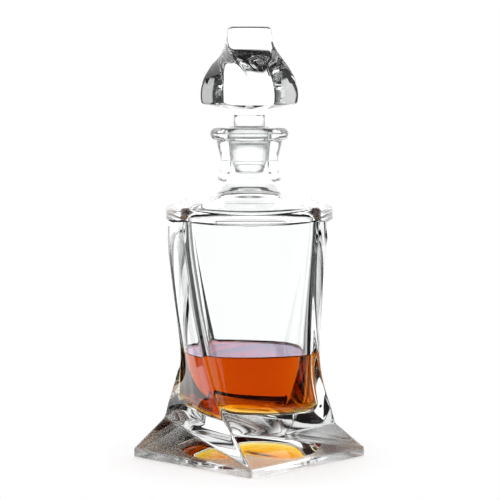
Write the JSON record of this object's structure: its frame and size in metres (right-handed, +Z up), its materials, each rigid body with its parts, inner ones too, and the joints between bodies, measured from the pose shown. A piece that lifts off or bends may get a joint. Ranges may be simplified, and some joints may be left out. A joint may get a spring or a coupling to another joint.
{
  "type": "decanter",
  "caption": "Square crystal decanter with turning faces and a spreading folded foot, a ground-in twisted stopper and amber drink in its cavity.",
  "frame": {"origin": "on the axis, at the level of the flat that the foot stands on", "axes": "+Z up along the neck; a panel between two upright ridges faces -Y at the shoulder; the foot's corners point along X and Y"},
  "size_m": [0.1344, 0.1344, 0.2493],
  "materials": {
    "crystal_body": "clear fire-polished crystal, ground matt in the neck's bore",
    "crystal_stopper": "clear polished crystal, ground matt on the shank",
    "amber_spirit": "clear amber liquid"
  },
  "bodies": {
    "decanter": {"decanter_body": "crystal_body", "drink": "amber_spirit"},
    "stopper": {"stopper": "crystal_stopper"}
  },
  "joints": [
    {"name": "stopper_lift", "type": "slide", "parent": "decanter", "child": "stopper", "axis": [0, 0, 1], "range_m": [0, 0.06]}
  ]
}
